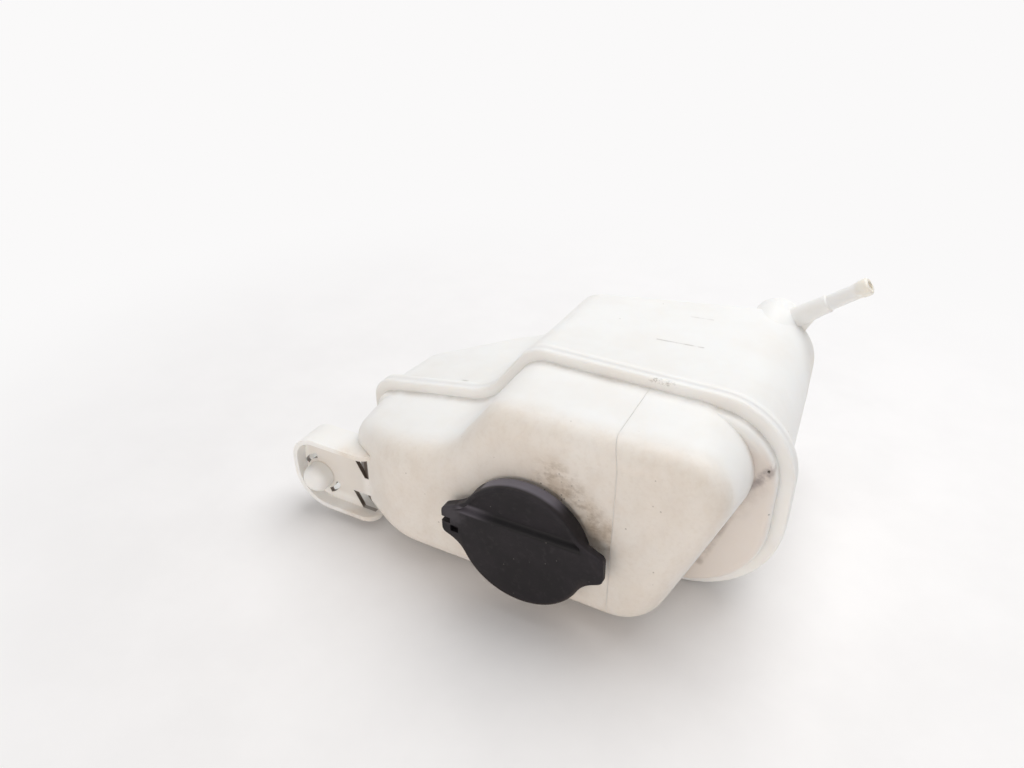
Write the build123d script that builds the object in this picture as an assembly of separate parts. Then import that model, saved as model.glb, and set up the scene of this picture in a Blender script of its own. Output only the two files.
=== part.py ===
"""Coolant expansion tank: two welded shell halves, a filler cap and the ring that seals it.

X runs along the weld flange, Z is up as the tank stands, and the filler neck points along -Y.
The pieces are drawn from the right end of the flange, on the weld plane and at floor height,
and are moved at the end so that the origin lies under the middle of the tank.
"""
import os
from math import cos, radians, sin, tan

from build123d import *

# Weld flange, seen along the filler axis
flange_length = 204.0
flange_height = 100.6
flange_half_thickness = 3.75
flange_width = 4.5
end_height = 61.0
shoulder_angle = 10.0
step_angle = 53.0
step_run = 86.2
flange_edge_radius = 1.2
flange_end_low_radius = 18.0
flange_low_radius = 46.0
flange_high_radius = 34.0
flange_head_radius = 14.0
flange_foot_radius = 24.0
flange_end_high_radius = 12.0

# Shell walls and the rounding of both halves
wall = 2.5
step_foot_radius = 24.0

# Front half: a drafted bulge with a slanted right side and a sloping left end, on a shallow deck
bulge_depth = 48.5
end_ramp_run = 40.0
end_ramp_angle = 29.0
end_ramp_radius = 45.0
bulge_rim_radius = 11.5
bulge_corner_radius = 14.5
bulge_high_foot_radius = 28.0
bulge_high_face_radius = 11.3
bulge_low_radius = 23.0
slant_foot_x = -38.5
slant_angle = 68.8
slant_draft = 8.7
bulge_end_draft = 4.0
bulge_shoulder_draft = 5.8
bulge_draft = 2.5
bulge_low_draft = 0.5
deck_depth = 10.0
deck_inset = 1.2
deck_edge_radius = 3.0

# Back half: a floor in two slopes, deepest at the outlet
back_draft = 3.0
back_right_draft = 4.5
back_low_draft = 1.0
back_step_draft = 0.5
back_step_width = 0.3
back_end_width = 2.5
back_rim_radius = 9.0
back_corner_radius = 12.0
back_low_radius = 38.0
back_high_radius = 27.0
floor_break_run = 46.0
floor_break_depth = 73.0
floor_slope = 17.5
end_slope = 41.0
floor_break_radius = 45.0

# Outlet boss, hose nipple and gusset
boss_x = -35.0
boss_z = 80.5
boss_radius = 12.5
boss_root_radius = 9.0
boss_start = 82.0
boss_full = 104.0
boss_end = 120.0
boss_nose_radius = 7.0
nipple_depth = 107.0
nipple_angle = 38.0
nipple_radius = 3.75
nipple_bore_radius = 2.3
hub_radius = 5.2
hub_end_radius = 4.4
hub_reach = 29.0
nipple_reach = 50.0
bead_radius = 4.3
bead_length = 3.2
bead_ramp = 2.5
bead_chamfer = 0.8
gusset_thickness = 2.4
gusset_foot_z = 77.0

# Filler neck
neck_x = -94.0
neck_z = 39.5
neck_radius = 24.0
neck_bore_radius = 20.5
neck_height = 3.9
neck_inner_length = 9.0

# Cap and seal
cap_radius = 28.9
cap_height = 7.6
cap_plate = 4.4
cap_edge_radius = 1.0
ear_reach = 36.9
ear_half_width = 6.1
ear_taper = 25.0
ear_offset = 2.0
ear_corner_radius = 3.0
ear_blend_radius = 14.0
ear_tilt = 1.0
left_ear_thickness = 4.8
right_ear_thickness = 3.2
scoop_rim = 1.7
scoop_depth = 2.6
scoop_wall_run = 3.4
scoop_rim_depth = 0.6
scoop_right_x = 27.0
notch_length = 4.5
notch_width = 2.8
notch_rise = 0.6
slot_length = 3.8
slot_width = 3.2
slot_depth = 2.4
slot_drop = 3.1
plug_clearance = 0.5
plug_wall = 2.0
plug_length = 11.0
skirt_clearance = 0.8
seal_thickness = 1.2
seal_gap = 0.3

# Bracket ear and stud socket, placed from the left end of the flange
ear_overhang = 23.5
ear_low_z = 4.5
ear_top_z = 43.0
ear_front = 42.0
ear_depth = 16.0
ear_wall = 2.4
ear_web_front = 36.0
ear_top_radius = 13.0
ear_low_radius = 19.0
ear_root_run = 22.5
ear_root_radius = 7.0
slit_run = 7.0
slit_lean = 28.0
bridge_low_z = 16.0
bridge_high_z = 26.0
stud_overhang = 11.5
stud_z = 20.0
stud_bore_radius = 3.25
socket_radius = 7.0
socket_height = 9.5
socket_dome_radius = 5.0
socket_end_wall = 2.4
crescent_inner_radius = 8.6
crescent_outer_radius = 11.2
crescent_half_angle = 26.0
crescent_angles = (130.0, -42.0)


def crossing(first, second):
    """Point where two lines meet; a line is a point and a heading in degrees."""
    (ax, az), a = first
    (bx, bz), b = second
    a, b = radians(a), radians(b)
    t = ((bx - ax) * sin(b) - (bz - az) * cos(b)) / sin(b - a)
    return ax + t * cos(a), az + t * sin(a)


def moved_in(line, distance):
    """The same line, moved to the left of its heading."""
    (x, z), a = line
    return (x - distance * sin(radians(a)), z + distance * cos(radians(a))), a


def outline(lines, shifts, radii):
    """Face bounded by lines that run counter-clockwise, each moved in, with rounded corners."""
    sides = [moved_in(line, shift) for line, shift in zip(lines, shifts)]
    corners = [crossing(sides[i - 1], sides[i]) for i in range(len(sides))]
    return make_face(FilletPolyline(*corners, radius=list(radii), close=True))


left_end_x = -flange_length
step_head = (left_end_x + step_run, flange_height)
low_side = ((0, 0), 0)
right_side = ((0, 0), 90)
top_side = ((0, flange_height), 180)
step_side = (step_head, 180 + step_angle)
shoulder_side = ((left_end_x, end_height), 180 + shoulder_angle)
end_side = ((left_end_x, 0), 270)
slant_side = ((slant_foot_x, 0), slant_angle)

flange_sides = (low_side, right_side, top_side, step_side, shoulder_side, end_side)


def flange_outline(inset):
    """Outline of the weld flange, or of the walls that stand inside it."""
    radii = (
        flange_end_low_radius - inset,
        flange_low_radius - inset,
        flange_high_radius - inset,
        flange_head_radius - inset,
        flange_foot_radius + inset,
        flange_end_high_radius - inset,
    )
    return outline(flange_sides, [inset] * len(flange_sides), radii)


def block(sides, starts, drafts, foot_radii, face_radii, length, inset):
    """Drafted block from the weld plane outwards, with all its walls moved in by the inset."""
    foot = [start + inset for start in starts]
    face = [shift + abs(length) * tan(radians(draft)) for shift, draft in zip(foot, drafts)]
    return loft(
        [
            Plane.XZ * outline(sides, foot, foot_radii),
            Plane.XZ.offset(length) * outline(sides, face, face_radii),
        ],
        ruled=True,
    )


def cut_back(body, plan, facing, rim_radius):
    """Body cut off by upright walls drawn in plan, with the rim round the cut faces rounded."""
    body = body & extrude(plan, 2 * flange_height)
    cut = body.faces().filter_by(lambda face: facing * face.normal_at().Y > 0.5)
    upright = cut.filter_by(lambda face: abs(face.normal_at().Z) < 0.01)
    seams = [edge for face in upright for edge in face.edges()]
    rim = [edge for edge in seams if sum(edge.is_same(other) for other in seams) == 1]
    return fillet(rim, rim_radius)


def bulge(inset):
    """Front bulge with its rounded rim; its right side is slanted and its left end slopes back."""
    sides = (low_side, slant_side, top_side, step_side, shoulder_side, end_side)
    starts = (flange_width, 0, flange_width, flange_width, flange_width, flange_width)
    drafts = (
        bulge_low_draft,
        slant_draft,
        bulge_draft,
        bulge_draft,
        bulge_shoulder_draft,
        bulge_end_draft,
    )
    corner = bulge_corner_radius - inset
    low = bulge_low_radius - inset
    inner = step_foot_radius + inset
    foot_radii = (corner, low, bulge_high_foot_radius - inset, corner, inner, corner)
    face_radii = (corner, low, bulge_high_face_radius - inset, corner, inner, corner)
    body = block(sides, starts, drafts, foot_radii, face_radii, bulge_depth + bulge_rim_radius, inset)
    plan_lines = (
        ((0, -bulge_depth), 0),
        ((flange_height, 0), 90),
        ((0, flange_height), 180),
        ((2 * left_end_x, 0), 270),
        ((left_end_x + end_ramp_run, -bulge_depth), -end_ramp_angle),
    )
    plan = outline(plan_lines, (inset, 0, 0, 0, inset), (end_ramp_radius - inset, 0, 0, 0, 0))
    return cut_back(body, plan, -1, bulge_rim_radius - inset)


def basin(inset):
    """Back half's body, cut off by the floor's two slopes and rounded along the floor's rim."""
    starts = (flange_width, flange_width, flange_width, back_step_width, back_end_width, back_end_width)
    drafts = (back_low_draft, back_right_draft, back_draft, back_step_draft, back_draft, back_draft)
    corner = back_corner_radius - inset
    radii = (
        corner,
        back_low_radius - inset,
        back_high_radius - inset,
        corner,
        step_foot_radius + inset,
        corner,
    )
    body = block(flange_sides, starts, drafts, radii, radii, -2 * floor_break_depth, inset)
    floor_break = (left_end_x + floor_break_run, floor_break_depth)
    plan_lines = (
        ((0, -flange_height), 0),
        ((flange_height, 0), 90),
        (floor_break, 180 + floor_slope),
        (floor_break, 180 + end_slope),
        ((2 * left_end_x, 0), 270),
    )
    plan = outline(plan_lines, (0, 0, inset, inset, 0), (0, 0, 0, floor_break_radius - inset, 0))
    return cut_back(body, plan, 1, back_rim_radius - inset)


def rod(radius, length):
    """Round rod that stands on its own origin."""
    return Cylinder(radius, length, align=(Align.CENTER, Align.CENTER, Align.MIN))


def boss(inset):
    """Round outlet boss: a cone that swells to a cup with a rounded nose, turned about Y."""
    full = boss_radius - inset
    end = boss_end - inset
    nose = boss_nose_radius - inset
    profile = make_face(
        Polyline(
            (0, boss_start),
            (boss_root_radius - inset, boss_start),
            (full, boss_full),
            (full, end),
            (0, end),
            (0, boss_start),
        )
    )
    corner = [v for v in profile.vertices() if v.X > nose and v.Y > boss_full + nose]
    turned = revolve(fillet(corner, nose), Axis.Y)
    return Pos(boss_x, 0, boss_z) * turned


def nipple_plane():
    """Plane at the boss's axis whose normal runs along the nipple."""
    a = radians(nipple_angle)
    return Plane(origin=(boss_x, nipple_depth, boss_z), x_dir=(0, 1, 0), z_dir=(cos(a), 0, sin(a)))


def nipple():
    """Hose nipple with a tapered hub, a bead at its end and a gusset down to the boss."""
    start = boss_radius - 2 * wall
    bead_end = nipple_reach - bead_chamfer
    profile = make_face(
        Polyline(
            (0, start),
            (hub_radius, start),
            (hub_end_radius, hub_reach),
            (nipple_radius, hub_reach + hub_end_radius - nipple_radius),
            (nipple_radius, bead_end - bead_length - bead_ramp),
            (bead_radius, bead_end - bead_length),
            (bead_radius, bead_end),
            (bead_radius - bead_chamfer, nipple_reach),
            (0, nipple_reach),
            (0, start),
        )
    )
    turned = revolve(Plane.XZ * profile, Axis.Z)
    a = radians(nipple_angle)
    tip = (boss_x + hub_reach * cos(a), boss_z + hub_reach * sin(a))
    root = (boss_x + start * cos(a), boss_z + start * sin(a))
    foot = (boss_x + boss_radius - wall, gusset_foot_z)
    web = make_face(Polyline(tip, root, foot, (foot[0] + wall, foot[1]), tip))
    gusset = extrude(Plane.XZ.offset(-nipple_depth) * web, gusset_thickness / 2, both=True)
    return nipple_plane() * turned + gusset


def nipple_bore():
    """Passage from the boss out through the nipple."""
    return nipple_plane() * rod(nipple_bore_radius, nipple_reach + wall)


def along_filler(x, z, distance):
    """Place whose own Z axis points out of the filler neck, at a distance from the weld plane."""
    return Plane(origin=(x, -distance, z), x_dir=(1, 0, 0), z_dir=(0, -1, 0))


def post(radius, start, end):
    """Round post on the filler axis between two distances from the weld plane."""
    return along_filler(neck_x, neck_z, start) * rod(radius, end - start)


neck_top = bulge_depth + neck_height
neck_foot = bulge_depth - neck_inner_length
ear_left_x = left_end_x - ear_overhang
ear_root_x = left_end_x + ear_root_run
slit_x = left_end_x + slit_run
stud_x = left_end_x - stud_overhang


def ear_outline(inset):
    """Bracket ear's outline, open into the bulge on its right."""
    corners = [
        (ear_root_x, ear_low_z + inset),
        (ear_root_x, ear_top_z - inset),
        (ear_left_x + inset, ear_top_z - inset),
        (ear_left_x + inset, ear_low_z + inset),
    ]
    return make_face(
        FilletPolyline(*corners, radius=[0, 0, ear_top_radius - inset, ear_low_radius - inset], close=True)
    )


def bracket_ear():
    """Pan-shaped ear: a rim round a web, with two slits beside the bulge and a domed stud socket."""
    rear = Plane.XZ.offset(ear_front - ear_depth)
    web_rear = Plane.XZ.offset(ear_web_front - ear_wall)
    rim = extrude(rear * ear_outline(0), ear_depth) - extrude(rear * ear_outline(ear_wall), ear_depth)
    roots = rim.edges().filter_by(Axis.Z).group_by(Axis.X)[-1]
    rim = fillet(roots.group_by(Axis.Y)[0], ear_root_radius)
    web = extrude(web_rear * ear_outline(0), ear_wall)
    for low, high in ((ear_low_z + ear_wall, bridge_low_z), (bridge_high_z, ear_top_z - ear_wall)):
        foot_x = slit_x + (high - low) * tan(radians(slit_lean))
        slit = make_face(
            Polyline((ear_root_x, low), (ear_root_x, high), (slit_x, high), (foot_x, low), close=True)
        )
        web -= extrude(web_rear * slit, ear_wall)
    stud = along_filler(stud_x, stud_z, ear_web_front - ear_wall)
    dome = rod(socket_radius, socket_height + ear_wall)
    dome = fillet(dome.edges().group_by(Axis.Z)[-1], socket_dome_radius)
    for angle in crescent_angles:
        first = PolarLine((0, 0), 2 * crescent_outer_radius, angle - crescent_half_angle)
        last = PolarLine((0, 0), 2 * crescent_outer_radius, angle + crescent_half_angle)
        wedge = make_face(Polyline((0, 0), first @ 1, last @ 1, (0, 0)))
        crescent = (Circle(crescent_outer_radius) - Circle(crescent_inner_radius)) & wedge
        web -= stud * extrude(crescent, ear_wall)
    bore = rod(stud_bore_radius, socket_height + ear_wall - socket_end_wall)
    return rim + web + stud * dome - stud * bore


def front_shell():
    """Front half: flange, deck and bulge in one wall, with the filler neck and the bracket ear."""
    flange = extrude(Plane.XZ * flange_outline(0), flange_half_thickness)
    flange = fillet(flange.faces().sort_by(Axis.Y)[0].edges(), flange_edge_radius)
    deck_width = flange_width + deck_inset
    deck = extrude(Plane.XZ * flange_outline(deck_width), deck_depth)
    deck = fillet(deck.faces().sort_by(Axis.Y)[0].edges(), deck_edge_radius)
    hollow = extrude(Plane.XZ * flange_outline(deck_width + wall), deck_depth - wall) + bulge(wall)
    shell = flange + deck + bulge(0) + bracket_ear() - hollow
    return shell + post(neck_radius, neck_foot, neck_top) - post(neck_bore_radius, neck_foot, neck_top)


def back_shell():
    """Back half: flange and basin in one wall, with the outlet boss, the nipple and its gusset."""
    flange = extrude(Plane.XZ * flange_outline(0), -flange_half_thickness)
    flange = fillet(flange.faces().sort_by(Axis.Y)[-1].edges(), flange_edge_radius)
    return flange + basin(0) + boss(0) + nipple() - basin(wall) - boss(wall) - nipple_bore()


cap_ceiling = neck_top + seal_gap + seal_thickness + seal_gap
cap_face = cap_ceiling + cap_plate
cap_foot = cap_face - cap_height
ear_root_half_width = ear_half_width + ear_reach * tan(radians(ear_taper))


def cap_ears():
    """Outline of both ears, which widen towards the middle of the cap."""
    root = ear_root_half_width
    corners = [
        (-ear_reach, -ear_half_width),
        (0, -root),
        (ear_reach, -ear_half_width),
        (ear_reach, ear_half_width),
        (0, root),
        (-ear_reach, ear_half_width),
    ]
    ends = ear_corner_radius
    return make_face(FilletPolyline(*corners, radius=[ends, 0, ends, ends, 0, ends], close=True))


def ear_blend():
    """Radius of the blend from the cap's round into an ear's side, limited by that side's length."""
    below = (ear_root_half_width - ear_offset) * cos(radians(ear_taper))
    corner = ear_corner_radius * tan(radians(90 - ear_taper) / 2)
    side = (ear_reach**2 + (ear_half_width - ear_offset) ** 2 - below**2) ** 0.5 - corner
    longest = (side**2 + below**2 - cap_radius**2) / (2 * (cap_radius - below))
    return min(ear_blend_radius, 0.95 * longest)


def cap_outline():
    """Round of the cap with both ears blended into it."""
    plate = Circle(cap_radius) + Pos(0, ear_offset) * cap_ears()
    roots = [vertex for vertex in plate.vertices() if abs(vertex.X) < cap_radius]
    return fillet(roots, ear_blend())


def scoop():
    """Hollow above the ears: a soft wall along their upper edge and a floor that rises to the rim."""
    edge = ear_offset + ear_half_width
    deepest = (edge + scoop_wall_run, cap_height - scoop_depth)
    rim = (cap_radius - scoop_rim, cap_height - scoop_rim_depth)
    middle = ((deepest[0] + rim[0]) / 2, deepest[1] + (rim[1] - deepest[1]) / 4)
    wall_curve = Spline((edge, cap_height), deepest, tangents=((1, 0), (1, 0)))
    floor = ThreePointArc(deepest, middle, rim)
    rest = Polyline(rim, (cap_radius, cap_height), (edge, cap_height))
    across = Plane(origin=(-ear_reach, 0, 0), x_dir=(0, 1, 0), z_dir=(1, 0, 0))
    hollow = extrude(across * make_face([wall_curve, floor, rest]), ear_reach + scoop_right_x)
    return hollow & extrude(offset(cap_outline(), -scoop_rim), cap_height)


def filler_cap():
    """Cap with two ears, a finger scoop above them, a notched left ear, a skirt and a plug."""
    body = extrude(cap_outline(), cap_height)
    body = fillet(body.edges().group_by(Axis.Z)[-1], cap_edge_radius) - scoop()
    notch = Pos(-ear_reach, ear_offset + notch_rise, cap_height / 2)
    body -= notch * Box(2 * notch_length, notch_width, cap_height)
    slot = Pos(notch_length + slot_length / 2 - ear_reach, ear_offset - slot_drop, cap_height)
    body -= slot * Box(slot_length, slot_width, 2 * slot_depth)
    for end, thickness in ((-ear_reach, left_ear_thickness), (ear_reach, right_ear_thickness)):
        behind = Box(2 * ear_reach, 2 * cap_radius, cap_height - thickness)
        body -= Pos(end, ear_offset, (cap_height - thickness) / 2) * behind - rod(cap_radius, cap_height)
    ceiling = cap_height - cap_plate
    plug_radius = neck_bore_radius - plug_clearance
    plug = rod(plug_radius, plug_length) - rod(plug_radius - plug_wall, plug_length)
    body = body - rod(neck_radius + skirt_clearance, ceiling) + Pos(0, 0, ceiling - plug_length) * plug
    return along_filler(neck_x, neck_z, cap_foot) * Rot(0, 0, ear_tilt) * body


def cap_seal():
    """Flat ring between the neck's rim and the cap's plate."""
    start = neck_top + seal_gap
    end = start + seal_thickness
    return post(neck_radius, start, end) - post(neck_bore_radius, start, end)


pieces = {
    "front_shell": front_shell(),
    "back_shell": back_shell(),
    "filler_cap": filler_cap(),
    "cap_seal": cap_seal(),
}
extent = Compound(list(pieces.values())).bounding_box()
centred = Pos(-extent.center().X, -extent.center().Y, -extent.min.Z)
print("origin moved by", -extent.center().X, -extent.center().Y, -extent.min.Z)

os.makedirs("parts", exist_ok=True)
for name, piece in pieces.items():
    export_step(centred * piece, f"parts/{name}.step")
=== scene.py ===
"""Looks of a coolant expansion tank: two welded polypropylene shells, a black filler cap and its seal."""

import math

import bpy
import numpy as np
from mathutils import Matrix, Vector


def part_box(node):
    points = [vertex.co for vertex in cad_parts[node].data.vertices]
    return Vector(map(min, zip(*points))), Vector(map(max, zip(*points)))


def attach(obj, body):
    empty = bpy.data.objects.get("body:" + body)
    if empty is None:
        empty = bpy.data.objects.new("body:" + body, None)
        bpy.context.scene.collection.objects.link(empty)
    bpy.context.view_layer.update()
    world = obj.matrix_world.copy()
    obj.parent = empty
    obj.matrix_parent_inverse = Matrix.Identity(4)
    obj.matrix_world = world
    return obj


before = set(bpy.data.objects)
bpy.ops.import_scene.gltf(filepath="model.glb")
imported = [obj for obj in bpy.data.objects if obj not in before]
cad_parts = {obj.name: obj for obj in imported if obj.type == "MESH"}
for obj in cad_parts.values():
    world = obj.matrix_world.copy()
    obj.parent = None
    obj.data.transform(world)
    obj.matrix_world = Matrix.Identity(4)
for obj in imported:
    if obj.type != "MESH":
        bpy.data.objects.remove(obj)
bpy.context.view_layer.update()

# The front shell: natural polypropylene, injection moulded with a filler neck and a bracket ear.
# It is milky and lets light through. On the car it has yellowed, and grime sticks to its front face. Its
# front face is tinted beige, partly as yellowed film and partly as painted shade.
# Places on the tank are in millimetres from the right end of its weld flange.
MM = 0.001
flange_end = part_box("front_shell")[1]
flange_half_thickness = 3.75
bulge_depth = 48.5
deck_depth = 10.0
ear_end = (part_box("front_shell")[0].x - flange_end.x) / MM
ear_web_front = 36.0
ear_web_rear = 33.6
# Beige tint of the front and rear faces: partly yellowed film, partly painted shade.
film_and_shade_tint = "#E8DFD5"
smear_tint = "#C3B09C"
# Tint of the corners at the flange's foot: washed-out grime and painted shade.
corner_grime_and_shade_tint = "#A3968A"
# Dark brown of the ear's slit walls and the gaps behind them: dirt and painted shadow.
cut_dirt_and_shade_tint = "#4A3B30"
speck_tint = "#8A7C70"
spot_tint = "#3A322C"
# Cloudy patterns: the lumps' size, the noise at which they start and at which they are full, the stretch.
film_and_shade_clouds = (30, 0.25, 0.75)
smear_clouds = (9, 0.4, 0.75, (1, 1, 1.6))
washed_clouds = (14, 0.2, 0.7)
lumpy = {"Detail": 4.0, "Roughness": 0.6}


def on_tank(along, out, up):
    """Point in metres from a place along the flange, out through the filler neck and up."""
    return (flange_end.x + along * MM, flange_end.y - out * MM, up * MM)


def linear(hex_colour):
    """Linear RGBA of an sRGB hex colour: each channel is undone by the sRGB curve."""
    channels = np.array([int(hex_colour[i:i + 2], 16) for i in (1, 3, 5)]) / 255
    curve = np.where(channels <= 0.04045, channels / 12.92, ((channels + 0.055) / 1.055) ** 2.4)
    return (*curve.tolist(), 1.0)


def feed(tree, node, inputs):
    """Set each named or numbered input of a node, or link it where the value is a socket."""
    for name, value in inputs.items():
        if isinstance(value, bpy.types.NodeSocket):
            tree.links.new(value, node.inputs[name])
        else:
            node.inputs[name].default_value = value


def add(tree, kind, inputs, output=0, **settings):
    """Add a shader node with its settings and inputs, and hand back one of its outputs."""
    node = tree.nodes.new("ShaderNode" + kind)
    for name, value in settings.items():
        setattr(node, name, value)
    feed(tree, node, inputs)
    return node.outputs[output]


def new_material(name):
    """Material with a Principled shader; returns it, its tree, the shader and Object coordinates."""
    material = bpy.data.materials.new(name)
    material.use_nodes = True
    tree = material.node_tree
    place = add(tree, "TexCoord", {}, "Object")
    return material, tree, tree.nodes["Principled BSDF"], place


def dress(node_name, material):
    """Give a CAD node its material."""
    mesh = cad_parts[node_name].data
    mesh.materials.clear()
    mesh.materials.append(material)


def soiled(tree, colour, layers):
    """Colour with tints laid over it in turn; each shows by its strength times all of its masks."""
    for tint, strength, *masks in layers:
        amount = strength
        for mask in masks:
            amount = add(tree, "Math", {0: mask, 1: amount}, operation="MULTIPLY")
        colour = add(tree, "Mix", {0: amount, 6: colour, 7: linear(tint)}, 2, data_type="RGBA")
    return colour


def zone(tree, place, along=(), out=(), up=()):
    """Zone of the tank with soft edges: the product of smooth steps from 0 at one place to 1 at the next."""
    axes = add(tree, "SeparateXYZ", {"Vector": place}).node.outputs
    mask = 1.0
    for axis, edges in enumerate((along, out, up)):
        for start, full in edges:
            span = [on_tank(edge, edge, edge)[axis] for edge in (start, full)]
            step = add(
                tree,
                "MapRange",
                {"Value": axes[axis], "From Min": span[0], "From Max": span[1]},
                interpolation_type="SMOOTHSTEP",
            )
            mask = add(tree, "Math", {0: step, 1: mask}, operation="MULTIPLY")
    return mask


def clouds(tree, place, size_mm, low, high, stretch=(1, 1, 1)):
    """Cloudy pattern from 0 to 1: noise with lumps of about size_mm, stretched, cut at low and high."""
    scaled = add(tree, "Mapping", {"Vector": place, "Scale": tuple(1 / np.array(stretch) / (size_mm * MM))})
    lumps = add(tree, "TexNoise", {"Vector": scaled, "Scale": 1.0, **lumpy})
    edge = {"Value": lumps, "From Min": low, "From Max": high}
    return add(tree, "MapRange", edge, interpolation_type="SMOOTHSTEP")


def patch(tree, place, centre, reach_mm, ragged=0.7):
    """1 inside an ellipsoid about centre and 0 outside it; noise of a third of its size breaks its edge."""
    core = 0.2
    reach = np.array(reach_mm) * MM
    scaled = add(
        tree,
        "Mapping",
        {"Vector": place, "Location": tuple(-np.array(centre) / reach), "Scale": tuple(1 / reach)},
    )
    far = add(tree, "VectorMath", {0: scaled}, "Value", operation="LENGTH")
    lumps = add(tree, "TexNoise", {"Vector": scaled, "Scale": 3.0, **lumpy})
    broken = add(tree, "Math", {0: lumps, 1: ragged, 2: far}, operation="MULTIPLY_ADD")
    edge = {"Value": broken, "From Min": 1.0 + ragged / 2, "From Max": core + ragged / 2}
    return add(tree, "MapRange", edge, interpolation_type="SMOOTHSTEP")


def streak(tree, place, start, end, width_mm):
    """1 on a straight streak from start to end, by distance from that segment, else 0."""
    core = 0.25
    start = np.array(start)
    run = np.array(end) - start
    offset = add(tree, "VectorMath", {0: place, 1: tuple(start)}, operation="SUBTRACT")
    along = add(
        tree, "VectorMath", {0: offset, 1: tuple(run / (run @ run))}, "Value", operation="DOT_PRODUCT"
    )
    held = add(tree, "Clamp", {"Value": along})
    nearest = add(tree, "VectorMath", {0: tuple(run), "Scale": held}, operation="SCALE")
    away = add(tree, "VectorMath", {0: offset, 1: nearest}, "Value", operation="DISTANCE")
    edge = {"Value": away, "From Min": width_mm * MM, "From Max": core * width_mm * MM}
    return add(tree, "MapRange", edge, interpolation_type="SMOOTHSTEP")


def specks(tree, place, spacing_mm, radius, share):
    """Round specks in a share of the cells of a cellular pattern; their radius is in cells."""
    cells = add(tree, "TexVoronoi", {"Vector": place, "Scale": 1 / (spacing_mm * MM)}).node.outputs
    edge = {"Value": cells["Distance"], "From Min": radius, "From Max": radius / 2}
    near = add(tree, "MapRange", edge, interpolation_type="SMOOTHSTEP")
    pick = add(tree, "SeparateColor", {"Color": cells["Color"]}, "Red")
    chosen = add(tree, "Math", {0: pick, 1: share}, operation="LESS_THAN")
    return add(tree, "Math", {0: near, 1: chosen}, operation="MULTIPLY")


def flange_corner(tree, place, side):
    """Corner of wall and flange, in front of the flange (side 1) or behind it (side -1), fading outwards."""
    face = flange_half_thickness + 0.1
    full = flange_half_thickness + 0.8
    edges = [(face, full), (full + 5.2, full)]
    return zone(tree, place, out=[(side * start, side * end) for start, end in edges])


def polypropylene(name, soiling):
    """Natural polypropylene, moulded: milky white, satin, faintly wavy, with each soiling laid over it."""
    material, tree, shader, place = new_material(name)
    milky = soiled(tree, linear("#F5F4F1"), [("#F1EEE9", 1.0, clouds(tree, place, 45, 0.35, 0.7))])
    # The mould's grain is too fine to show, so it is drawn coarser than it is. Sink marks make the waves.
    grain_mm, sink_mm = 1.6, 26
    grain = add(tree, "TexNoise", {"Vector": place, "Scale": 1 / (grain_mm * MM), "Detail": 2.0})
    skin = add(tree, "Bump", {"Strength": 0.12, "Distance": 0.2 * MM, "Height": grain})
    sinks = add(tree, "TexNoise", {"Vector": place, "Scale": 1 / (sink_mm * MM), "Detail": 1.0})
    waves = add(tree, "Bump", {"Strength": 0.35, "Distance": 0.6 * MM, "Height": sinks, "Normal": skin})
    worn = clouds(tree, place, 12, 0.3, 0.75)
    satin = add(tree, "MapRange", {"Value": worn, "To Min": 0.38, "To Max": 0.54})
    feed(
        tree,
        shader,
        {
            "Base Color": soiled(tree, milky, soiling(tree, place)),
            "Roughness": satin,
            "Normal": waves,
            "IOR": 1.49,
            "Subsurface Weight": 0.35,
            "Subsurface Radius": (1.0, 0.85, 0.7),
            "Subsurface Scale": 6 * MM,
        },
    )
    return material


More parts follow.
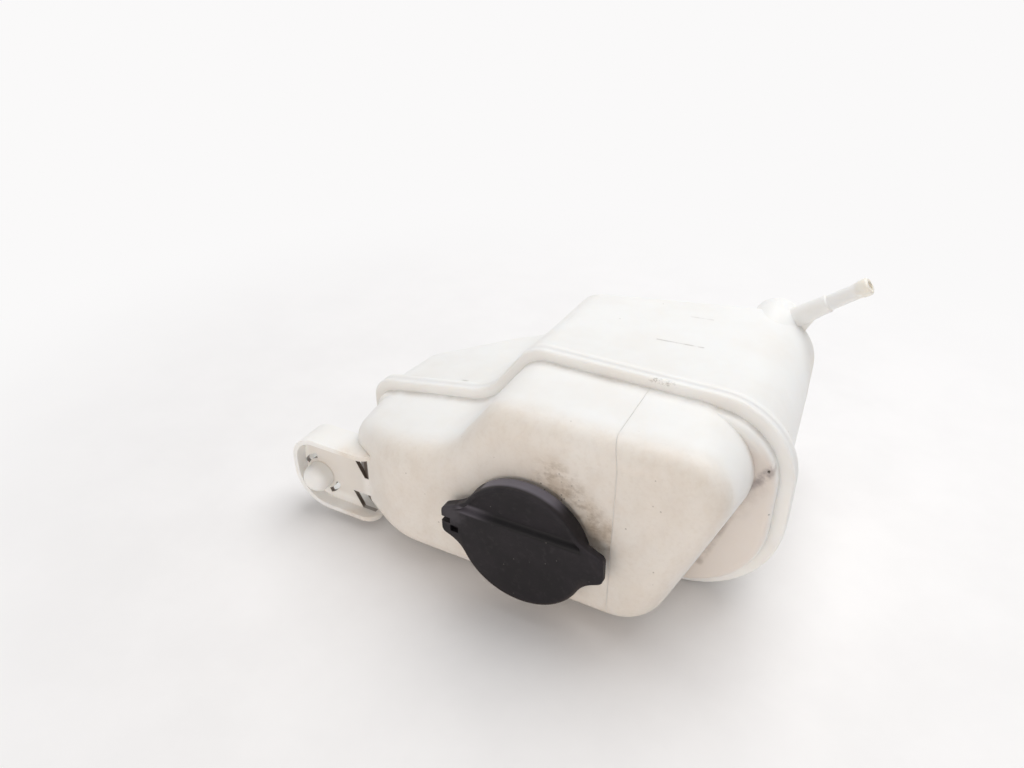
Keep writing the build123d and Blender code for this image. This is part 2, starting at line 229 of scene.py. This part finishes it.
def front_soiling(tree, place):
    """Beige film and painted shade on the front face, smears, a stain beside the cap, dirt and painted shadow
    in the ear, darker streaks on the deck, and grime and painted shade at the flange.
    """
    # The front face, right of the ear: tinted beige all over, partly yellowed film and partly painted shade.
    front = zone(tree, place, along=[(-203, -195)], out=[(30, 45.5)])
    film_and_shade = add(tree, "MapRange", {"Value": clouds(tree, place, *film_and_shade_clouds), "To Min": 0.7})
    smears = clouds(tree, place, *smear_clouds)
    mottle = clouds(tree, place, 2.2, 0.45, 0.7)
    face_specks = specks(tree, place, 3.2, 0.16, 0.1)

    # The ear: its web inside the rim, the cut walls of its slots and slits, and the gaps behind the slits.
    inside_rim = [(ear_end + 3, ear_end + 6), (-188, -192)]
    web_face = [(ear_web_front - 0.8, ear_web_front - 0.2), (ear_web_front + 1, ear_web_front + 0.3)]
    web_cuts = [(ear_web_front, ear_web_front - 0.3), (ear_web_rear + 0.05, ear_web_rear + 0.3)]
    behind_web = [(ear_web_front - 0.1, ear_web_front - 0.6), (ear_web_rear - 7, ear_web_rear - 3)]
    # Painted shade, partly film: the web in the rim's recess is tinted grey-beige.
    ear_web = zone(tree, place, along=inside_rim, out=web_face, up=[(10, 14), (40.5, 37.5)])
    upper_slot = ((-225, -217), (23.5, 30))
    lower_slot = ((-213, -204), (9, 18))
    slits = ((-199, -185), (7, 40.5))
    soft = 0.3
    # Painted shadow, partly dirt: the cut walls of the slots and slits and the gaps behind the slits are
    # painted dark brown.
    cut_walls = [
        zone(
            tree,
            place,
            along=[(left - soft, left), (right + soft, right)],
            out=web_cuts,
            up=[(low - soft, low), (high + soft, high)],
        )
        for (left, right), (low, high) in (upper_slot, lower_slot, slits)
    ]
    gaps = zone(tree, place, along=[(-197, -194), (-182, -186)], out=behind_web, up=[(6.9, 8.5), (40.6, 39)])

    # The stain runs down from the cap to the mould's parting line, which stops it.
    left_of_line = zone(tree, place, along=[(-57.6, -58.6)])
    stain_start, stain_end = on_tank(-84, bulge_depth, 72), on_tank(-60, bulge_depth, 50)
    wide_stain = streak(tree, place, stain_start, stain_end, 13)
    blotches = clouds(tree, place, 8, 0.25, 0.72)
    splashes = clouds(tree, place, 2.6, 0.42, 0.68, (1.5, 1, 1))
    stain_core = patch(tree, place, on_tank(-64, bulge_depth, 56), (7, 7, 10), 1.2)
    round_cap = patch(tree, place, on_tank(-83, bulge_depth, 67), (16, 7, 8), 0.8)
    cap_dots = specks(tree, place, 1.5, 0.32, 0.35)

    # The deck at the right: a greyer beige tint over it, darker rubbed streaks along its valley and along the
    # crease of the slanted wall, and three spots.
    deck = zone(tree, place, along=[(-45, -35)], out=[(7.5, 10), (14, 10.5)], up=[(92, 80)])
    valley = streak(tree, place, on_tank(-9, deck_depth, 76), on_tank(-20, deck_depth, 52), 7)
    corner, bend = on_tank(-7.5, 8.5, 79), on_tank(-15.1, 12, 67)
    high_crease = streak(tree, place, corner, bend, 3.2)
    low_crease = streak(tree, place, bend, on_tank(-31, 10.5, 20), 2.4)
    rubbed = clouds(tree, place, 6, 0.3, 0.7)
    high_spot = patch(tree, place, on_tank(-9.8, deck_depth, 76), (0.9, 1.2, 1.1), 1.0)
    middle_spot = patch(tree, place, on_tank(-16.1, deck_depth, 66.4), (1.2, 1.5, 1.8))
    low_spot = patch(tree, place, on_tank(-6.5, deck_depth, 55.3), (0.8, 1.5, 0.8))

    # The flange: washed-out grime and painted shade in its corner, and a gritty place on its top edge.
    washed = clouds(tree, place, *washed_clouds)
    flange_dirt = patch(tree, place, on_tank(-58, flange_half_thickness, 100), (8, 2.5, 2.5), 0.8)
    grit = clouds(tree, place, 1.6, 0.48, 0.6)
    return (
        # Painted shade and film: the front face is tinted beige.
        (film_and_shade_tint, 1.0, front, film_and_shade),
        (smear_tint, 0.16, front, smears),
        ("#C9B9A8", 0.12, front, mottle),
        # Painted shade, partly film: the ear's recessed web is tinted grey-beige.
        ("#DDD7D0", 0.9, ear_web, film_and_shade),
        # Painted shadow and dirt in the ear's slots, slits and the gaps behind them.
        *[(cut_dirt_and_shade_tint, 0.8, wall) for wall in cut_walls],
        (cut_dirt_and_shade_tint, 0.7, gaps),
        # The deck is tinted a greyer beige than the top.
        ("#E3D8CF", 0.8, deck),
        ("#B9A68F", 0.5, front, wide_stain, blotches, left_of_line),
        ("#8E7B65", 0.4, front, wide_stain, splashes, left_of_line),
        ("#82705B", 0.4, front, stain_core, blotches, left_of_line),
        # Darker streaks along the deck's valley and the crease of the slanted wall.
        ("#93857A", 0.15, valley, rubbed),
        ("#85787A", 0.75, high_crease, rubbed),
        ("#7D6F64", 0.45, low_crease, rubbed),
        # Grime and painted shade in the corner in front of the flange.
        (corner_grime_and_shade_tint, 0.4, flange_corner(tree, place, 1), washed),
        ("#5F564D", 0.45, flange_dirt, grit),
        (speck_tint, 0.5, front, face_specks),
        ("#3E352E", 0.8, front, round_cap, cap_dots),
        *[(spot_tint, 1.0, spot) for spot in (high_spot, middle_spot, low_spot)],
    )


dress("front_shell", polypropylene("moulded_polypropylene_front", front_soiling))

# The mould's parting line: a fine ridge of the front shell's own polypropylene, left where two
# sliding parts of the mould meet. It runs over the top and down the front face, and holds dirt.
ridge_half_width = 0.12
ridge_height = 0.05
ridge_sides = 8
ridge_top_along = -62.2
ridge_front_along = -58.1
bulge_top_up = 96.1
bulge_low_up = 4.5
top_draft = math.radians(2.5)
low_draft = math.radians(0.5)
rim_radius = 11.5
rim_steps = 24


def swept_ridge(name, path, outward, half_width, half_height):
    """Tube with closed ends: path + cos(turn) * half_width along X + sin(turn) * half_height outward."""
    turn = np.linspace(0, 2 * math.pi, ridge_sides, endpoint=False)
    wide = np.cos(turn)[None, :, None] * half_width * np.array([1.0, 0.0, 0.0])
    high = np.sin(turn)[None, :, None] * half_height * outward[:, None, :]
    points = path[:, None, :] + wide + high
    count, sides = points.shape[:2]
    row = np.arange(count - 1)[:, None] * sides
    here = np.arange(sides)[None, :]
    after = (here + 1) % sides
    quads = np.stack([row + here, row + sides + here, row + sides + after, row + after], axis=-1)
    ends = [list(range(sides)), list(range(count * sides - 1, (count - 1) * sides - 1, -1))]
    mesh = bpy.data.meshes.new(name)
    mesh.from_pydata(points.reshape(-1, 3).tolist(), [], quads.reshape(-1, 4).tolist() + ends)
    mesh.polygons.foreach_set("use_smooth", np.ones(len(mesh.polygons), bool))
    piece = bpy.data.objects.new(name, mesh)
    bpy.context.scene.collection.objects.link(piece)
    return piece


# The ridge's path: from the flange over the drafted top, round the arc of the upper rim, down the front
# face and round the arc of the lower rim. On the upper arc it shifts along the flange by a smooth step.
rim_out = bulge_depth - rim_radius
high_centre = bulge_top_up - rim_out * math.tan(top_draft) - rim_radius / math.cos(top_draft)
low_centre = bulge_low_up + rim_out * math.tan(low_draft) + rim_radius / math.cos(low_draft)
high_turn = np.linspace(math.pi / 2 - top_draft, 0, rim_steps)
low_turn = np.linspace(0, low_draft - math.pi / 2, rim_steps)
turns = np.concatenate([high_turn[:1], high_turn, low_turn])
centres = np.concatenate([np.full(1 + rim_steps, high_centre), np.full(rim_steps, low_centre)])
outs = rim_out + rim_radius * np.cos(turns)
ups = centres + rim_radius * np.sin(turns)
outs[0] = flange_half_thickness
ups[0] = bulge_top_up - flange_half_thickness * math.tan(top_draft)
lean = np.clip(turns / high_turn[0], 0, 1)
alongs = ridge_front_along + (ridge_top_along - ridge_front_along) * lean**2 * (3 - 2 * lean)
ridge_path = np.stack(on_tank(alongs, outs, ups), axis=1)
ridge_outward = np.stack([np.zeros_like(turns), -np.cos(turns), np.sin(turns)], axis=1)
mould_line = swept_ridge("mould_line", ridge_path, ridge_outward, ridge_half_width * MM, ridge_height * MM)


def ridge_soiling(tree, place):
    """Dirt that has caught on the ridge in short dashes, and a grey tone all along it."""
    caught = clouds(tree, place, 6, 0.42, 0.66, (1, 1, 1.5))
    return (("#D8CDC2", 0.12), ("#85776A", 0.3, caught))


mould_line.data.materials.append(polypropylene("moulded_polypropylene_ridge", ridge_soiling))
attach(mould_line, "tank")

# The back shell: the same polypropylene, hot-plate welded to the front one along the flange.
# It carries the outlet boss and its hose nipple; its top has a few fine scratches.
scratch_tint = "#857B71"
scratch_width = 0.9


def back_soiling(tree, place):
    """Beige film and painted shade on the rear face, thin dirty scratches on the top, grime and painted shade
    at the flange, a yellowed nipple tip.
    """
    rear_face = zone(tree, place, out=[(-60, -105)], up=[(88, 70)])
    film_and_shade = clouds(tree, place, *film_and_shade_clouds)
    smears = clouds(tree, place, *smear_clouds)
    washed = clouds(tree, place, *washed_clouds)
    long_ends = on_tank(-75, -41.5, 93.9), on_tank(-54.3, -43.5, 93.8)
    short_ends = on_tank(-68.9, -74.5, 92.2), on_tank(-59.1, -76, 92.1)
    rubbed = clouds(tree, place, 5, 0.3, 0.6)
    flange_spot = patch(tree, place, on_tank(-158, -8.5, 65), (3, 1.5, 3))
    tip = patch(tree, place, on_tank(4.4, -107, 111.3), (10, 10, 10), 0.5)
    return (
        # Painted shade and film: the rear face is tinted beige.
        (film_and_shade_tint, 0.8, rear_face, film_and_shade),
        (smear_tint, 0.16, rear_face, smears),
        # Grime and painted shade in the corner behind the flange.
        (corner_grime_and_shade_tint, 0.25, flange_corner(tree, place, -1), washed),
        (scratch_tint, 0.4, streak(tree, place, *long_ends, scratch_width), rubbed),
        (scratch_tint, 0.25, streak(tree, place, *short_ends, scratch_width), rubbed),
        ("#A0978B", 0.5, flange_spot),
        ("#E4D3A9", 0.3, tip),
        (speck_tint, 0.4, specks(tree, place, 6, 0.09, 0.06)),
    )


dress("back_shell", polypropylene("moulded_polypropylene_back", back_soiling))

# The cap's seal: a flat ring of black rubber, cut from sheet, that lies on the rim of the neck.
# It is dull and a little uneven. Only its edge shows, between the neck and the cap, once the cap is lifted.
# The sheet's crumb is too fine to show, so it is drawn coarser than it is.
crumb_mm = 0.6
seal_rubber, tree, shader, place = new_material("cut_rubber_seal")
crumb = add(tree, "TexNoise", {"Vector": place, "Scale": 1 / (crumb_mm * MM)})
feed(
    tree,
    shader,
    {
        "Base Color": soiled(tree, linear("#1B1A1A"), [("#2A2827", 1.0, clouds(tree, place, 4, 0.3, 0.7))]),
        "Roughness": 0.75,
        "Normal": add(tree, "Bump", {"Strength": 0.2, "Distance": 0.1 * MM, "Height": crumb}),
    },
)
dress("cap_seal", seal_rubber)

# The filler cap: black polyamide, moulded with a fine spark-eroded grain that dulls its gloss. It is turned
# by its two ears. Its side is smoother, and the upper arc of that side is painted light grey as a painted
# highlight.
# The grain is too fine to show, so it is drawn coarser than it is.
neck_along = -94.0
neck_up = 39.5
cap_radius = 28.9
cap_face = 58.6
scoop_foot_up = 47.6
cap_grain_mm = 0.7
cap_plastic, tree, shader, place = new_material("moulded_black_polyamide")
rear_band = [(cap_face - 1.6, cap_face - 3.8)]
upper_arc = [(neck_along - 24, neck_along - 17), (neck_along + 19, neck_along + 11)]
# Painted highlight: the upper arc of the cap's side is painted light grey; the same mask makes it smoother.
side = zone(tree, place, along=upper_arc, out=rear_band, up=[(neck_up + 21, neck_up + 23)])
# The scoop's wall: its left end is painted light grey as a painted highlight, and the rest near-black as
# painted shade.
wall_height = [(scoop_foot_up - 0.4, scoop_foot_up + 0.6), (scoop_foot_up + 4.2, scoop_foot_up + 2.6)]
wall_start = [(neck_along - 30, neck_along - 27), (neck_along - 10, neck_along - 25)]
wall_rest = [(neck_along - 22, neck_along - 8), (neck_along + 29, neck_along + 26)]
wall_painted_highlight = zone(tree, place, along=wall_start, up=wall_height)
wall_painted_shade = zone(tree, place, along=wall_rest, up=wall_height)
# The left ear is painted a lighter grey.
lighter_left_ear = patch(tree, place, on_tank(-126, cap_face, 46), (9, 4, 8))
neck = np.array(on_tank(neck_along, 0, neck_up))
facing = add(tree, "Mapping", {"Vector": place, "Location": tuple(-neck * [1, 0, 1]), "Scale": (1, 0, 1)})
radius = add(tree, "VectorMath", {0: facing}, "Value", operation="LENGTH")
rim = {"Value": radius, "From Min": (cap_radius - 1.8) * MM, "From Max": (cap_radius - 0.4) * MM}
worn_rim = add(tree, "MapRange", rim, interpolation_type="SMOOTHSTEP")
low_half = zone(tree, place, up=[(neck_up - 2, neck_up - 14)])
cap_grain = add(tree, "TexNoise", {"Vector": place, "Scale": 1 / (cap_grain_mm * MM), "Detail": 3.0})
dusty = clouds(tree, place, 3, 0.5, 0.75)
feed(
    tree,
    shader,
    {
        "Base Color": soiled(
            tree,
            linear("#171417"),
            [
                ("#1F1B1F", 1.0, clouds(tree, place, 14, 0.35, 0.7)),
                ("#4A4648", 0.15, dusty),
                # Painted highlight on the upper arc of the cap's side.
                ("#75727C", 0.9, side),
                # Painted highlight at the left end of the scoop's wall, and painted shade along the rest of
                # it.
                ("#625E66", 0.75, wall_painted_highlight),
                ("#090709", 0.8, wall_painted_shade),
                ("#4B484D", 0.6, lighter_left_ear),
                ("#3D3634", 0.8, worn_rim, low_half),
                ("#7D7874", 0.4, specks(tree, place, 2.4, 0.14, 0.08)),
            ],
        ),
        "Roughness": add(tree, "MapRange", {"Value": side, "To Min": 0.56, "To Max": 0.38}),
        "Specular IOR Level": 0.22,
        "IOR": 1.53,
        "Normal": add(tree, "Bump", {"Strength": 0.3, "Distance": 0.1 * MM, "Height": cap_grain}),
    },
)
dress("filler_cap", cap_plastic)

# The stage: a plain floor of pale matt paint that goes over into white away from the tank, so that no
# edge of it shows. Two large soft lamps and a pale room light the tank at a plain level; the room shows
# nearly white to the camera, but lights less.
floor_radius = 6.0
floor_sides = 96
fade_start, fade_end = 0.13, 0.45
room_light, room_white = 0.4, 0.97
ring = np.linspace(0, 2 * math.pi, floor_sides, endpoint=False)
floor_mesh = bpy.data.meshes.new("floor")
floor_edge = np.stack([np.cos(ring), np.sin(ring), np.zeros_like(ring)], axis=1) * floor_radius
floor_mesh.from_pydata(floor_edge.tolist(), [], [list(range(floor_sides))])
floor = bpy.data.objects.new("floor", floor_mesh)
bpy.context.scene.collection.objects.link(floor)


def seen_directly(tree):
    """1 for what the camera, a reflection or a transmission shows, and 0 for light on the object."""
    rays = add(tree, "LightPath", {}).node.outputs
    first = add(tree, "Math", {0: rays["Is Camera Ray"], 1: rays["Is Glossy Ray"]}, operation="MAXIMUM")
    return add(tree, "Math", {0: first, 1: rays["Is Transmission Ray"]}, operation="MAXIMUM")


floor_paint, tree, shader, place = new_material("matt_floor_paint")
mottle = clouds(tree, place, 60, 0.3, 0.7)
paint = soiled(tree, linear("#F7F6F6"), [("#F3F2F2", 1.0, mottle)])
feed(tree, shader, {"Base Color": paint, "Roughness": 0.7})
away = add(tree, "VectorMath", {0: place}, "Value", operation="LENGTH")
white = add(tree, "Emission", {"Color": linear("#FAF9F9"), "Strength": 1.0})
fade = {"Value": away, "From Min": fade_start, "From Max": fade_end}
far = add(tree, "MapRange", fade, interpolation_type="SMOOTHSTEP")
amount = add(tree, "Math", {0: far, 1: seen_directly(tree)}, operation="MULTIPLY")
faded = add(tree, "MixShader", {0: amount, 1: shader.outputs["BSDF"], 2: white})
feed(tree, tree.nodes["Material Output"], {"Surface": faded})
floor_mesh.materials.append(floor_paint)

world = bpy.data.worlds.new("studio")
bpy.context.scene.world = world
world.use_nodes = True
tree = world.node_tree
strength = add(tree, "MapRange", {"Value": seen_directly(tree), "To Min": room_light, "To Max": room_white})
feed(tree, tree.nodes["Background"], {"Color": linear("#FCFBFB"), "Strength": strength})


def soft_lamp(name, place, target, size, power, colour):
    """Square area lamp at a place, turned to a target: tilt from straight down, then swing about up."""
    data = bpy.data.lights.new(name, "AREA")
    data.size = size
    data.energy = power
    data.color = linear(colour)[:3]
    lamp = bpy.data.objects.new(name, data)
    lamp.location = place
    aim = np.array(target) - np.array(place)
    tilt = math.atan2(math.hypot(aim[0], aim[1]), -aim[2])
    swing = math.atan2(-aim[0], aim[1])
    lamp.rotation_euler = (tilt, 0, swing)
    bpy.context.scene.collection.objects.link(lamp)


middle = (0.0, 0.0, 0.05)
soft_lamp("overhead", (0.15, 0.4, 1.1), middle, size=1.1, power=10.5, colour="#FFFFFF")
soft_lamp("front_fill", (0.0, -1.2, 0.12), middle, size=0.9, power=6.5, colour="#FFF3E8")

# The camera stands where the photograph's stood: in front of the tank's right end, 271 mm above the floor.
# It looks down and to the left; its tilt is counted from straight down.
camera_tilt = math.radians(59)
camera_swing = math.radians(28)
camera_data = bpy.data.cameras.new("camera")
camera_data.sensor_width = 36.0
camera_data.lens = 29.18
camera = bpy.data.objects.new("camera", camera_data)
camera.location = on_tank(23.5, 284.8, 271.0)
camera.rotation_euler = (camera_tilt, 0, camera_swing)
bpy.context.scene.collection.objects.link(camera)
bpy.context.scene.camera = camera

bpy.context.scene.view_settings.view_transform = "Standard"
